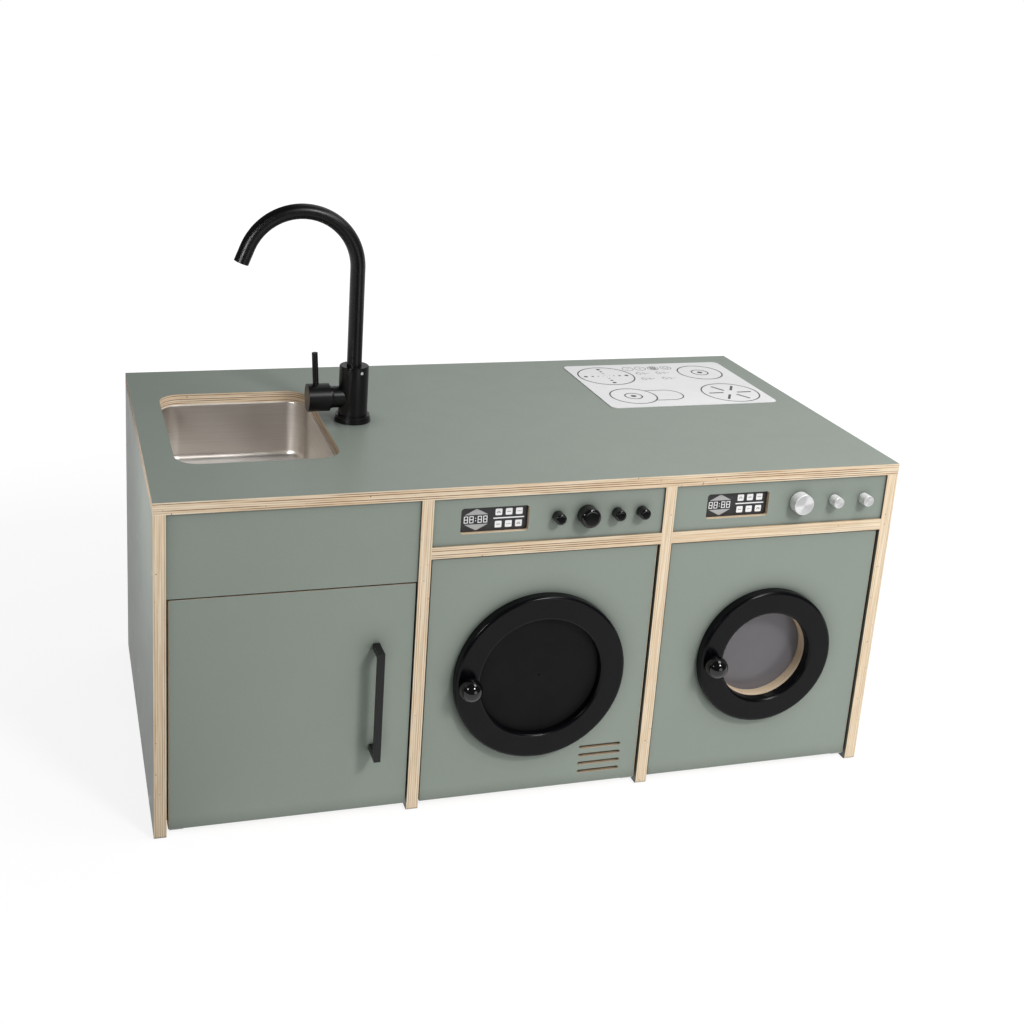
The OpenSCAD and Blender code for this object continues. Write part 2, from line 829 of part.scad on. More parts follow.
// Tap
module tap_base_ring() {
    step_h = tap_base_h / 2;
    color(matt_black) place() difference() {
        union() {
            rod_z(tap_x, tap_y, body_h, tap_base_r, step_h);
            rod_z(tap_x, tap_y, body_h + step_h, tap_base_r - 1.5, step_h);
        }
        rod_z(tap_x, tap_y, body_h, shank_r + fit, tap_base_h);
    }
}

module tap_body() {
    color(matt_black) place() difference() {
        union() {
            rod_z(tap_x, tap_y, tap_body_z, tap_body_r, tap_body_h - 1);
            rod_z(tap_x, tap_y, tap_top_z - 1, tap_body_r - 1, 1);
            rod_x(ball_x, tap_y, neck_axis_z, neck_r, neck_reach);
            translate([ball_x, tap_y, neck_axis_z]) sphere(r = ball_end_r);
        }
        box_at(ball_x - 2 * cap_r, tap_y - cap_r, neck_axis_z - cap_r, 2 * cap_r - 9, 2 * cap_r, 2 * cap_r);
        rod_x(ball_x - cap_r, tap_y, neck_axis_z, cartridge_r + fit, cap_r + cartridge_len - 5);
        rod_z(tap_x, tap_y, tap_top_z - spout_seat, spout_r + pin_clearance, spout_seat);
        rod_z(tap_x, tap_y, tap_body_z, shank_r + fit, shank_up);
        spout_screw_hole(hole_clearance);
    }
}

// The spout's screw enters the body's front a little to the right and rests in the spout's groove
groove_depth = 0.8;
groove_h = 6;
spout_screw_r = 2.5;
spout_screw_drop = 8;
spout_screw_turn = 20;

module spout_screw_hole(extra) {
    translate([tap_x, tap_y, tap_top_z - spout_screw_drop]) rotate([90, 0, spout_screw_turn]) {
        translate([0, 0, spout_r - groove_depth + 0.3]) {
            cylinder(r = spout_screw_r + extra, h = tap_body_r - spout_r + groove_depth - 0.5);
        }
    }
}

module spout_screw() color(steel) place() spout_screw_hole(0);

module tap_shank() {
    color(steel) place() difference() {
        rod_z(tap_x, tap_y, upright_h - shank_len, shank_r, shank_len + ply + tap_base_h + shank_up);
        rod_z(tap_x, tap_y, upright_h - shank_len, shank_r - 4, shank_len + ply + tap_base_h + shank_up);
    }
}

module tap_nut() {
    flange_r = shank_r + 10;
    flange_t = 2;
    color(steel) place() difference() {
        union() {
            rod_z(tap_x, tap_y, upright_h - flange_t, flange_r, flange_t);
            translate([tap_x, tap_y, upright_h - flange_t - nut_t]) cylinder(r = shank_r + 7, h = nut_t, $fn = 6);
        }
        rod_z(tap_x, tap_y, upright_h - flange_t - nut_t, shank_r + fit, flange_t + nut_t);
    }
}

// The cartridge turns in the neck and carries the cross pin that the stem tilts on
module tap_cartridge() {
    slot_w = 2 * stem_r + 1;
    color(steel) place() {
        difference() {
            rod_x(ball_x - 5, tap_y, neck_axis_z, cartridge_r - fit / 2, cartridge_len);
            box_at(ball_x - 5, tap_y - slot_w / 2, neck_axis_z - cartridge_r, 12, slot_w, 2 * cartridge_r);
        }
        rod_y(ball_x, tap_y - slot_w / 2, neck_axis_z, cross_pin_r, slot_w);
    }
}

stem_in_cap = 5;

module lever_stem() {
    start = ball_x - ball_end_r - ball_play - stem_in_cap;
    color(steel) place() difference() {
        union() {
            rod_x(start, tap_y, neck_axis_z, stem_r, ball_x - start);
            rod_y(ball_x, tap_y - stem_r, neck_axis_z, stem_r + 0.5, 2 * stem_r);
        }
        rod_y(ball_x, tap_y - stem_r, neck_axis_z, cross_pin_r + pin_clearance, 2 * stem_r);
    }
}

lever_x = ball_x - cap_len + 14;
lever_seat = 8;

module lever_at(extra, extra_len) {
    translate([lever_x, tap_y, neck_axis_z + cap_r - lever_seat]) rotate([0, -lever_lean, 0]) {
        cylinder(r = lever_r + extra, h = lever_len + lever_seat + extra_len);
    }
}

module handle_cap() {
    color(matt_black) place() difference() {
        rod_x(ball_x - cap_len, tap_y, neck_axis_z, cap_r, cap_len + cap_overlap);
        translate([ball_x, tap_y, neck_axis_z]) sphere(r = ball_end_r + ball_play);
        rod_x(ball_x, tap_y, neck_axis_z, ball_end_r + ball_play, cap_overlap);
        rod_x(ball_x - ball_end_r - ball_play - stem_in_cap, tap_y, neck_axis_z, stem_r + fit, stem_in_cap + 2);
        lever_at(fit, 0);
    }
}

module lever_rod() color(matt_black) place() lever_at(0, 0);

module bend(r) {
    translate([tap_x - spout_bend_r, tap_y, body_h + spout_rise]) rotate([90, 0, 0]) {
        rotate_extrude(angle = spout_bend) translate([spout_bend_r, 0]) circle(r = r);
    }
}

module spout_solid(r) {
    bottom_z = tap_top_z - spout_seat;
    rod_z(tap_x, tap_y, bottom_z, r, body_h + spout_rise - bottom_z);
    bend(r);
    translate([tap_x - spout_bend_r, tap_y, body_h + spout_rise]) rotate([0, -spout_bend, 0]) {
        translate([spout_bend_r, 0, 0]) cylinder(r = r, h = nozzle_len);
    }
}

module spout() {
    groove_z = tap_top_z - spout_screw_drop - groove_h / 2;
    color(matt_black) place() difference() {
        spout_solid(spout_r);
        spout_solid(spout_r - spout_wall);
        difference() {
            rod_z(tap_x, tap_y, groove_z, spout_r + 1, groove_h);
            rod_z(tap_x, tap_y, groove_z, spout_r - groove_depth, groove_h);
        }
    }
}

worktop();
left_side_panel();
left_divider();
right_divider();
right_side_panel();
cupboard_floor();
dryer_floor();
washer_floor();
cupboard_partition();
dryer_partition();
washer_partition();
cupboard_fascia();
dryer_fascia();
washer_fascia();
dryer_upper_board();
washer_upper_board();
carcass_dowels();
side_screws();
sink_basin();
sink_screws();
hob_sheet();
dryer_display();
washer_display();
tap_base_ring();
tap_body();
tap_shank();
tap_nut();
tap_cartridge();
lever_stem();
handle_cap();
lever_rod();
spout();
spout_screw();
dryer_knob_1();
dryer_large_knob();
dryer_knob_2();
dryer_knob_3();
washer_large_knob();
washer_knob_1();
washer_knob_2();
knob_spindles();
cupboard_door();
cupboard_handle();
handle_screws();
cupboard_strike();
dryer_door();
dryer_ring();
dryer_disc();
dryer_door_knob();
dryer_ring_screws();
dryer_strike();
washer_door();
washer_ring();
washer_pane();
washer_door_knob();
washer_ring_screws();
washer_strike();
upper_pivot_pins();
lower_pivot_plates();
door_magnets();
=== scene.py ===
"""Looks of the play kitchen and laundry unit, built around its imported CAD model.

Sizes of prints, basin and set screw are millimetres; light, floor and finishes count in metres.
at() counts millimetres from the carcass's left side, its front and the floor.
"""

import math

import bmesh
import bpy
from mathutils import Matrix, Vector


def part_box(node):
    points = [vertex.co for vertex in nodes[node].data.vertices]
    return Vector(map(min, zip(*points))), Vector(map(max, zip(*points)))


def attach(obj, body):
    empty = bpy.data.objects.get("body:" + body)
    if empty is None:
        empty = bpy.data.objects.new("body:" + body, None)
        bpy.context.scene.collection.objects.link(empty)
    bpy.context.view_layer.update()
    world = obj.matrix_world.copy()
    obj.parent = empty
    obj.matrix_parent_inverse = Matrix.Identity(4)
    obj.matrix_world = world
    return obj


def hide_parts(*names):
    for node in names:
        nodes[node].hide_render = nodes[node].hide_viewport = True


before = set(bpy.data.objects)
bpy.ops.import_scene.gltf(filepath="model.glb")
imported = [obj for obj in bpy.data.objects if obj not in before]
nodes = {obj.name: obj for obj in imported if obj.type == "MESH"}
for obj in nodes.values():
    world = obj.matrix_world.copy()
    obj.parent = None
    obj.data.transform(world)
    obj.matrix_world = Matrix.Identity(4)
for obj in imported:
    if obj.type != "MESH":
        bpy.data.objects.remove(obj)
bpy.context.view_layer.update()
MM = 0.001
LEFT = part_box("worktop")[0].x
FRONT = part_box("worktop")[0].y


def at(x, y, z):
    """A point of the part frame, in metres."""
    return Vector((LEFT + x * MM, FRONT + y * MM, z * MM))


def srgb(r, g, b):
    """A colour given as 0 to 255 display values, as linear values."""
    values = [c / 255 for c in (r, g, b)]
    return [v / 12.92 if v <= 0.04045 else ((v + 0.055) / 1.055) ** 2.4 for v in values]


def grey(value):
    """A grey given as a 0 to 255 display value."""
    return srgb(value, value, value)


BLACK = (0, 0, 0)
WHITE = (1, 1, 1)

# Camera: its place for at(), its directions, and its focal length in pixels of the picture
CAMERA_AT = (-131.7, -1756.9, 1250.9)
CAMERA_RIGHT = (0.9633, -0.2634, 0.0514)
CAMERA_FORWARD = (0.267, 0.9222, -0.2797)
FOCAL_PIXELS = 1383.9
PICTURE_PIXELS = 1024
CAMERA_SHIFT = (0.08, -0.15)
SENSOR_WIDTH = 36
FAR_CLIP = 60


def make_camera():
    data = bpy.data.cameras.new("camera")
    data.sensor_width = SENSOR_WIDTH
    data.sensor_fit = "HORIZONTAL"
    data.lens = FOCAL_PIXELS / PICTURE_PIXELS * SENSOR_WIDTH
    data.shift_x, data.shift_y = CAMERA_SHIFT
    data.clip_end = FAR_CLIP
    camera = bpy.data.objects.new("camera", data)
    forward = Vector(CAMERA_FORWARD).normalized()
    right = Vector(CAMERA_RIGHT)
    right = (right - forward * right.dot(forward)).normalized()
    up = right.cross(forward)
    turn = Matrix((right, up, -forward)).transposed()
    camera.matrix_world = Matrix.Translation(at(*CAMERA_AT)) @ turn.to_4x4()
    bpy.context.scene.collection.objects.link(camera)
    bpy.context.scene.camera = camera


# Node graphs
class Graph:
    """Adds and joins the nodes of one material or world."""

    def __init__(self, owner):
        owner.use_nodes = True
        self.owner = owner
        self.tree = owner.node_tree
        self.tree.nodes.clear()

    def add(self, kind, sockets=None, **settings):
        """A new node; a socket's value is a number, a colour or another node's output."""
        node = self.tree.nodes.new("ShaderNode" + kind)
        for key, value in settings.items():
            setattr(node, key, value)
        for key, value in (sockets or {}).items():
            socket = node.inputs[key]
            if isinstance(value, bpy.types.NodeSocket):
                self.tree.links.new(value, socket)
            elif socket.type == "RGBA" and len(value) == 3:
                socket.default_value = (*value, 1)
            else:
                socket.default_value = value
        return node

    def math(self, operation, a, b=0.0):
        return self.add("Math", {0: a, 1: b}, operation=operation).outputs[0]

    def ramp(self, value, low, high, to_low=0.0, to_high=1.0):
        """Goes smoothly from to_low to to_high while the value goes from low to high."""
        sockets = {"Value": value, "From Min": low, "From Max": high, "To Min": to_low, "To Max": to_high}
        return self.add("MapRange", sockets, interpolation_type="SMOOTHSTEP").outputs[0]

    def mix(self, factor, a, b):
        """Colour a where the factor is 0 and colour b where it is 1."""
        node = self.add("Mix", {"Factor": factor}, data_type="RGBA")
        for socket, value in zip([s for s in node.inputs if s.type == "RGBA"], (a, b)):
            if isinstance(value, bpy.types.NodeSocket):
                self.tree.links.new(value, socket)
            else:
                socket.default_value = (*value, 1)
        return [s for s in node.outputs if s.type == "RGBA"][0]

    def noise(self, vector, scale, detail=3.0, roughness=0.5, distortion=0.0):
        sockets = {"Vector": vector, "Scale": scale, "Detail": detail, "Roughness": roughness,
                   "Distortion": distortion}
        return self.add("TexNoise", sockets).outputs[0]

    def coordinates(self):
        return self.add("TexCoord").outputs

    def place(self):
        """Where a point lies on its own object, in metres."""
        return self.coordinates()["Object"]

    def split(self, vector):
        """The x, y and z of a vector."""
        return self.add("SeparateXYZ", {0: vector}).outputs

    def scaled(self, vector, factors):
        return self.add("VectorMath", {0: vector, 1: factors}, operation="MULTIPLY").outputs[0]

    def bump(self, height, strength, distance):
        return self.add("Bump", {"Height": height, "Strength": strength, "Distance": distance}).outputs[0]

    def openness(self, distance):
        """1 in the open, less where other surfaces stand within the distance."""
        return self.add("AmbientOcclusion", {"Distance": distance}, samples=4).outputs["AO"]

    def background(self, colour):
        return self.add("Background", {"Color": colour}).outputs[0]

    def emission(self, colour, strength=1.0):
        return self.add("Emission", {"Color": colour, "Strength": strength}).outputs[0]

    def blend(self, share, a, b):
        """Shader a where the share is 0 and shader b where it is 1."""
        return self.add("MixShader", {0: share, 1: a, 2: b}).outputs[0]

    def shader(self, sockets):
        return self.add("BsdfPrincipled", sockets).outputs[0]

    def finish(self, surface):
        kind = "OutputWorld" if isinstance(self.owner, bpy.types.World) else "OutputMaterial"
        self.add(kind, {"Surface": surface})
        return self.owner


def graph(name):
    return Graph(bpy.data.materials.new(name))


# Lamps: where each stands, where it points, its size in metres, its power in watts and its beam in degrees
LAMPS = {
    "key_light": ((1.15, -3.0, 3.0), (0.0, 0.0, 0.3), 0.8, 75, 180),
    "top_light": ((0.75, -0.60, 1.75), (0.55, -0.3, 0.6), 0.7, 5.0, 150),
    "side_light": ((-0.95, -0.32, 0.50), (-0.575, -0.10, 0.49), 0.2, 0.36, 90),
    "sink_light": ((-1.05, -0.80, 0.95), (-0.36, 0.05, 0.46), 0.3, 1.3, 60),
    "low_light": ((0.7, -1.9, 0.3), (0.1, 0.0, 0.3), 0.95, 4.7, 180),
}
# Lamps that only matt surfaces show, and lamps that only glossy ones show
MATT_ONLY = ["side_light"]
GLOSS_ONLY = ["sink_light"]


def make_lamps():
    for name, (where, target, size, power, beam) in LAMPS.items():
        data = bpy.data.lights.new(name, "AREA")
        data.shape = "DISK"
        data.size = size
        data.energy = power
        data.spread = math.radians(beam)
        lamp = bpy.data.objects.new(name, data)
        lamp.location = where
        lamp.visible_camera = False
        lamp.visible_glossy = name not in MATT_ONLY
        lamp.visible_diffuse = name not in GLOSS_ONLY
        aim = Vector(target) - lamp.location
        lamp.rotation_euler = aim.to_track_quat("-Z", "Y").to_euler()
        bpy.context.scene.collection.objects.link(lamp)


# World: its light from above and from the horizon, and the height of a direction that counts as above
ZENITH_LIGHT = 0.57
HORIZON_LIGHT = 0.36
LIT_HEIGHT = 0.35
# Share of that light that the left gives, and between which sideways parts of a direction it changes
LEFT_LIGHT = 0.10
LEFT_EDGE = (-0.85, 0.0)
# How much of the white backdrop glossy surfaces show towards the left and towards the horizon
CARD_LEFT, CARD_LEFT_EDGE = 0.12, (0.06, 0.25)
CARD_LOW, CARD_LOW_EDGE = 0.60, (0.275, 0.33)
# What glossy surfaces show of the studio in front of the object, and where the white backdrop takes over
STUDIO_LEVEL = srgb(78, 79, 82)
BACKDROP_EDGE = (-0.15, 0.25)


def make_world():
    world = bpy.data.worlds.new("world")
    bpy.context.scene.world = world
    g = Graph(world)
    way = g.split(g.coordinates()["Generated"])
    level = g.ramp(way[2], 0.0, LIT_HEIGHT, HORIZON_LIGHT, ZENITH_LIGHT)
    level = g.math("MULTIPLY", level, g.ramp(way[0], *LEFT_EDGE, LEFT_LIGHT, 1.0))
    light = g.background(g.mix(level, BLACK, WHITE))
    card_share = g.math("MULTIPLY", g.ramp(way[0], *CARD_LEFT_EDGE, CARD_LEFT, 1.0),
                        g.ramp(way[2], *CARD_LOW_EDGE, CARD_LOW, 1.0))
    card = g.background(g.mix(card_share, BLACK, WHITE))
    mirrored = g.blend(g.ramp(way[1], *BACKDROP_EDGE), g.background(STUDIO_LEVEL), card)
    path = g.add("LightPath").outputs
    lit = g.blend(path["Is Glossy Ray"], light, mirrored)
    seen = g.math("MAXIMUM", path["Is Camera Ray"], path["Is Transmission Ray"])
    g.finish(g.blend(seen, lit, g.background(WHITE)))


# Floor
FLOOR_HALF = 14.0
FLOOR_COLOUR = grey(240)
# Share of the lit floor that is seen up to the first distance from the origin; past the second there is none
FLOOR_SHADE = 0.22
SHADE_EDGE = (1.1, 2.4)
# Strength of the white that the rest of it glows with
FLOOR_GLOW = 1.10
# Where the white floor sheet ends in front of the object, as glossy surfaces show it
SHEET_EDGE = (-1.35, -1.25)
# The floor left of here bounces little light, as the photo's left side has little from below
BOUNCE_EDGE = (-0.62, -0.45)
BOUNCE_COLOUR = grey(60)


def floor_material():
    """White to the eye, with a soft shadow near the object."""
    g = graph("floor")
    path = g.add("LightPath").outputs
    place = g.place()
    sides = g.split(place)
    dim = g.math("MULTIPLY", path["Is Diffuse Ray"], g.ramp(sides[0], *BOUNCE_EDGE, 1.0, 0.0))
    matt = g.add("BsdfDiffuse", {"Color": g.mix(dim, FLOOR_COLOUR, BOUNCE_COLOUR)}).outputs[0]
    seen = g.math("MAXIMUM", path["Is Camera Ray"], path["Is Glossy Ray"])
    seen = g.math("MAXIMUM", seen, path["Is Transmission Ray"])
    away = g.add("VectorMath", {0: place}, operation="LENGTH").outputs["Value"]
    glow_share = g.math("MULTIPLY", seen, g.ramp(away, *SHADE_EDGE, 1 - FLOOR_SHADE, 1.0))
    sheet = g.blend(glow_share, matt, g.emission(WHITE, FLOOR_GLOW))
    beyond = g.math("MULTIPLY", path["Is Glossy Ray"], g.ramp(sides[1], *SHEET_EDGE, 1.0, 0.0))
    return g.finish(g.blend(beyond, sheet, g.emission(STUDIO_LEVEL)))


def make_floor():
    mesh = bpy.data.meshes.new("floor")
    corners = [(-1, -1), (1, -1), (1, 1), (-1, 1)]
    mesh.from_pydata([(x * FLOOR_HALF, y * FLOOR_HALF, 0) for x, y in corners], [], [(0, 1, 2, 3)])
    floor = bpy.data.objects.new("floor", mesh)
    bpy.context.scene.collection.objects.link(floor)
    material = floor_material()
    material.cycles.emission_sampling = "NONE"
    mesh.materials.append(material)


# Boards
Z_AXIS = 2
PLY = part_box("worktop")[1].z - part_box("worktop")[0].z
PLIES = 11
SAGE = srgb(134, 143, 134)
SAGE_DRIFT = 0.015
SAGE_SPECK = srgb(176, 184, 176)
BIRCH_PALE = srgb(231, 215, 190)
BIRCH_WARM = srgb(215, 188, 154)
BIRCH_LINE = srgb(112, 74, 46)
BIRCH_FLECK = srgb(104, 72, 50)
BIRCH_FACE = srgb(229, 208, 176), srgb(206, 176, 138)
EDGE_ROUGHNESS = 0.62
BOARD_SPECULAR = 0.32
# Height of the grain on a face, as a share of that on an edge
FACE_RELIEF = 0.15
# How far a ply wanders, as a share of the board's thickness
PLY_WANDER = 0.02
# Scale of the wood fibres along an edge and across its plies
FIBRE_ALONG, FIBRE_ACROSS = 22.0, 1100.0
# How strongly the fibres show, on an edge with no glue lines and with full ones
FIBRE_PLAIN, FIBRE_LINED = 0.08, 0.18
# Sage boards whose thickness lies along x, along y and along z
SAGE_BOARDS = [
    ["left_side_panel", "left_divider", "right_divider", "right_side_panel"],
    ["cupboard_partition", "dryer_partition", "washer_partition", "cupboard_fascia", "dryer_fascia",
     "washer_fascia", "cupboard_door", "dryer_door", "washer_door"],
    ["worktop", "cupboard_floor", "dryer_floor", "washer_floor"],
]
# Boards of bare birch, which lie flat
BIRCH_BOARDS = ["dryer_upper_board", "washer_upper_board"]
# How strongly the glue lines show on the edges of the boards named, and on all others
LINE_STRENGTH = {
    "worktop": 1.0,
    "dryer_upper_board": 0.95,
    "washer_upper_board": 0.3,
    "left_side_panel": 0.42,
    "left_divider": 0.40,
    "right_divider": 0.28,
    "right_side_panel": 0.28,
    "dryer_fascia": 0.1,
    "washer_fascia": 0.1,
    "dryer_door": 0.15,
    "washer_door": 0.3,
}
OTHER_LINES = 0.6
# Contact shading: its reach, the openness where it is fullest and where it ends, the brightness it leaves
FACE_SHADE = {"reach": 0.035, "closed": 0.42, "free": 0.96, "dark": 0.40}
EDGE_SHADE = {"reach": 0.012, "closed": 0.18, "free": 0.42, "dark": 0.14}


def shaded(g, colour, reach, closed, free, dark):
    """The colour, darker close to other surfaces."""
    return g.mix(g.ramp(g.openness(reach), closed, free, dark, 1.0), BLACK, colour)


def banded(g, sides, axis, index, scale):
    """A place that stays the same all through a ply and jumps to the next, so that noise on it makes bands."""
    ply_step = 7.3
    spread = [g.math("MULTIPLY", sides[i], scale) for i in range(3)]
    spread[axis] = g.math("MULTIPLY", index, ply_step)
    return g.add("CombineXYZ", {0: spread[0], 1: spread[1], 2: spread[2]}).outputs[0]


def ply_edge(g, place, axis, start, lines):
    """Colour and height of a plywood edge: plies across the thickness, grain along the board."""
    sides = g.split(place)
    off = g.math("SUBTRACT", g.noise(place, scale=6.0, detail=1.0), 0.5)
    wander = g.math("MULTIPLY", off, PLY_WANDER)
    depth = g.math("ADD", g.math("DIVIDE", g.math("SUBTRACT", sides[axis], start), PLY), wander)
    layer = g.math("MULTIPLY", depth, PLIES)
    pair = g.math("MULTIPLY", g.math("SUBTRACT", layer, 0.5), 0.5)
    tone = g.noise(banded(g, sides, axis, g.math("FLOOR", layer), 9.0), scale=1.0)
    strength = g.noise(banded(g, sides, axis, g.math("FLOOR", pair), 6.0), scale=1.0)
    # Every other ply lies across the board and shows its darker end grain, stronger in some stretches.
    # off_middle is 0 in the middle of such a ply and 0.5 in the middle of its neighbours.
    off_middle = g.math("ABSOLUTE", g.math("SUBTRACT", g.math("FRACT", pair), 0.5))
    cross = g.math("MULTIPLY", g.ramp(off_middle, 0.09, 0.23, to_low=1.0, to_high=0.0),
                   g.ramp(strength, 0.38, 0.56, to_low=0.12))
    dark = g.math("MULTIPLY", cross, lines)
    fibre_scale = [FIBRE_ALONG] * 3
    fibre_scale[axis] = FIBRE_ACROSS
    fibre = g.noise(g.scaled(place, fibre_scale), scale=1.0, detail=2.0, roughness=0.55)
    fibre_share = g.ramp(fibre, 0.5, 0.75, to_high=FIBRE_PLAIN + (FIBRE_LINED - FIBRE_PLAIN) * lines)
    base = g.mix(g.ramp(tone, 0.3, 0.7), BIRCH_PALE, BIRCH_WARM)
    base = g.mix(fibre_share, base, BIRCH_LINE)
    colour = g.mix(dark, base, BIRCH_LINE)
    fleck = g.ramp(g.noise(place, scale=190.0, detail=1.0), 0.755, 0.78, to_high=0.7)
    colour = g.mix(fleck, colour, BIRCH_FLECK)
    height = g.math("SUBTRACT", g.math("MULTIPLY", fibre, 0.5), dark)
    return colour, height


def laminate(g, place):
    """Colour, height and roughness of the sage laminate faces."""
    cloud = g.noise(place, scale=5.0, roughness=0.55)
    speck = g.noise(place, scale=900.0, detail=2.0, roughness=0.6)
    low, high = [[c * factor for c in SAGE] for factor in (1 - SAGE_DRIFT, 1 + SAGE_DRIFT)]
    colour = g.mix(g.ramp(cloud, 0.3, 0.7), low, high)
    colour = g.mix(g.ramp(speck, 0.3, 0.7, to_high=0.10), colour, SAGE_SPECK)
    rough = g.ramp(g.noise(place, scale=24.0), 0.3, 0.7, to_low=0.40, to_high=0.43)
    return colour, speck, rough


def birch_face(g, place):
    """Colour, height and roughness of a sanded birch face, with the grain along x."""
    stretched = g.scaled(place, (3.0, 26.0, 26.0))
    grain = g.noise(stretched, scale=1.0, detail=4.0, roughness=0.6, distortion=0.6)
    rough = g.ramp(grain, 0.2, 0.8, to_low=0.5, to_high=0.62)
    return g.mix(g.ramp(grain, 0.25, 0.75), *BIRCH_FACE), grain, rough


def board_material(name, axis, start, lines, face):
    """Plywood whose plies are stacked along the axis, with the given look on its two faces."""
    g = graph(name)
    coordinates = g.coordinates()
    place = coordinates["Object"]
    facing = g.math("ABSOLUTE", g.split(coordinates["Normal"])[axis])
    on_face = g.math("GREATER_THAN", facing, 0.8)
    on_edge = g.math("SUBTRACT", 1.0, on_face)
    edge_colour, edge_height = ply_edge(g, place, axis, start, lines)
    face_colour, face_height, face_rough = face(g, place)
    colour = g.mix(on_face, shaded(g, edge_colour, **EDGE_SHADE), shaded(g, face_colour, **FACE_SHADE))
    rough = g.math("ADD", g.math("MULTIPLY", on_face, face_rough),
                   g.math("MULTIPLY", on_edge, EDGE_ROUGHNESS))
    face_relief = g.math("MULTIPLY", face_height, FACE_RELIEF)
    relief = g.math("ADD", g.math("MULTIPLY", on_face, face_relief),
                    g.math("MULTIPLY", on_edge, edge_height))
    sockets = {"Base Color": colour, "Roughness": rough, "Specular IOR Level": BOARD_SPECULAR,
               "Normal": g.bump(relief, strength=0.35, distance=0.00012)}
    return g.finish(g.shader(sockets))


def paint(material, *names):
    """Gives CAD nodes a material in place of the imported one."""
    for name in names:
        slots = nodes[name].data.materials
        slots.clear()
        slots.append(material)


def dress_boards():
    made = {}
    for axis, names in enumerate(SAGE_BOARDS):
        for name in names:
            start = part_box(name)[0][axis]
            lines = LINE_STRENGTH.get(name, OTHER_LINES)
            key = (axis, round(start, 5), lines)
            if key not in made:
                made[key] = board_material("sage_ply_" + name, axis, start, lines, laminate)
            paint(made[key], name)
    for name in BIRCH_BOARDS:
        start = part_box(name)[0].z
        paint(board_material("birch_ply_" + name, Z_AXIS, start, LINE_STRENGTH[name], birch_face), name)
    paint(board_material("dowels", Z_AXIS, 0.0, 0.0, birch_face), "carcass_dowels")


# Metals, lacquer and plastics
def worn(g, place, scale, low, high):
    """A value that drifts between low and high over the surface."""
    return g.ramp(g.noise(place, scale, roughness=0.6), 0.3, 0.7, low, high)


def grained(g, place, scale, roughness, strength, depth):
    """The normal of a fine relief."""
    return g.bump(g.noise(place, scale, detail=2.0, roughness=roughness), strength, depth)


def even_finish(name, colours, patches, rough, rough_patches, grain=None, specular=0.5, metallic=0.0,
                subsurface=0.0, alpha=1.0):
    """A material that drifts between two colours and between two roughnesses.

    The two scales of patches say how finely they drift. The grain's values are those of grained().
    """
    g = graph(name)
    place = g.place()
    sockets = {"Base Color": g.mix(worn(g, place, patches, 0.0, 1.0), *colours),
               "Roughness": worn(g, place, rough_patches, *rough), "Specular IOR Level": specular,
               "Metallic": metallic, "Subsurface Weight": subsurface, "Alpha": alpha}
    if grain:
        sockets["Normal"] = grained(g, place, *grain)
    return g.finish(g.shader(sockets))


def matt_black_metal():
    return even_finish("black_metal", colours=(grey(4), grey(8)), patches=60.0, rough=(0.30, 0.36),
                       rough_patches=35.0, grain=(2400.0, 0.6, 0.12, 0.00006), specular=0.34)


def lacquer():
    return even_finish("black_lacquer", colours=(srgb(5, 5, 8), srgb(8, 8, 11)), patches=25.0,
                       rough=(0.20, 0.25), rough_patches=18.0, grain=(38.0, 0.5, 0.10, 0.0004),
                       specular=0.16)


def disc_black():
    return even_finish("disc_black", colours=(grey(8), grey(11)), patches=12.0, rough=(0.60, 0.70),
                       rough_patches=20.0, grain=(1500.0, 0.6, 0.2, 0.00006), specular=0.15)


def gloss_black():
    return even_finish("gloss_black", colours=(grey(8), grey(12)), patches=45.0, rough=(0.04, 0.08),
                       rough_patches=60.0)


def plain_steel():
    return even_finish("plain_steel", colours=(grey(168), grey(192)), patches=200.0, rough=(0.26, 0.38),
                       rough_patches=300.0, metallic=1.0)


def bright_steel():
    return even_finish("bright_steel", colours=(grey(196), grey(212)), patches=200.0, rough=(0.36, 0.44),
                       rough_patches=300.0, metallic=0.35)


def display_plate():
    return even_finish("display_plate", colours=(srgb(32, 31, 34), srgb(40, 39, 42)), patches=90.0,
                       rough=(0.34, 0.44), rough_patches=120.0, grain=(2600.0, 0.5, 0.1, 0.00004))


def white_sheet():
    return even_finish("white_sheet", colours=(srgb(229, 229, 230), grey(234)), patches=14.0,
                       rough=(0.38, 0.46), rough_patches=30.0, grain=(1600.0, 0.5, 0.1, 0.00004))


def white_plastic():
    return even_finish("white_plastic", colours=(srgb(224, 223, 219), srgb(232, 231, 228)), patches=60.0,
                       rough=(0.4, 0.5), rough_patches=90.0, grain=(1200.0, 0.5, 0.15, 0.00005),
                       subsurface=0.05)


def smoky_acrylic():
    """A slightly frosted pane: what lies behind it shows only faintly."""
    return even_finish("clear_pane", colours=(srgb(103, 100, 104), srgb(110, 107, 111)), patches=7.0,
                       rough=(0.16, 0.24), rough_patches=30.0, alpha=0.82)


def ink(name, value):
    """Printed ink: nearly even, with the slight unevenness of a screen print."""
    spread = 6
    return even_finish(name, colours=(grey(value - spread), grey(value + spread)), patches=700.0,
                       rough=(0.4, 0.5), rough_patches=400.0)


